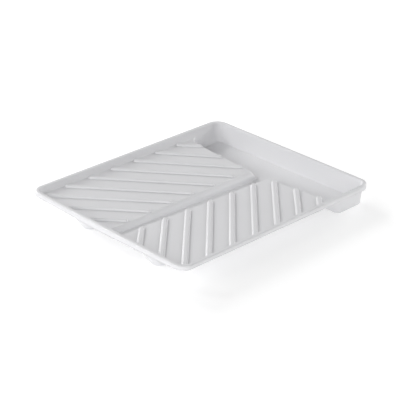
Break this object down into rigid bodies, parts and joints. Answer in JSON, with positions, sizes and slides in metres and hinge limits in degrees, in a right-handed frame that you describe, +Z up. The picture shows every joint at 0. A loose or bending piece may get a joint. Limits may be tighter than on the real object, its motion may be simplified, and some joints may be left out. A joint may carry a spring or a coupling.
{
  "type": "paint roller tray",
  "caption": "Shallow slanted tray with chevron ribs on two decks, a centre drain channel, a well at the deep end, a flanged rim and two small feet.",
  "frame": {"origin": "centre of the footprint on the surface that the tray stands on", "axes": "+X across the tray, +Y along it towards the well, +Z up"},
  "size_m": [0.258, 0.3051, 0.0323],
  "materials": {
    "tray_plastic": "smooth, slightly cool off-white moulded plastic with a soft gloss"
  },
  "bodies": {
    "root": {"rim_lip": "tray_plastic", "shallow_end_wall": "tray_plastic", "far_side_wall": "tray_plastic", "near_side_wall": "tray_plastic", "well_pan": "tray_plastic", "far_deck": "tray_plastic", "near_deck": "tray_plastic", "drain_channel": "tray_plastic", "far_foot": "tray_plastic", "near_foot": "tray_plastic", "far_rib_01": "tray_plastic", "far_rib_02": "tray_plastic", "far_rib_03": "tray_plastic", "far_rib_04": "tray_plastic", "far_rib_05": "tray_plastic", "far_rib_06": "tray_plastic", "far_rib_07": "tray_plastic", "far_rib_08": "tray_plastic", "far_rib_09": "tray_plastic", "far_rib_10": "tray_plastic", "near_rib_01": "tray_plastic", "near_rib_02": "tray_plastic", "near_rib_03": "tray_plastic", "near_rib_04": "tray_plastic", "near_rib_05": "tray_plastic", "near_rib_06": "tray_plastic", "near_rib_07": "tray_plastic", "near_rib_08": "tray_plastic", "near_rib_09": "tray_plastic", "near_rib_10": "tray_plastic"}
  },
  "joints": []
}
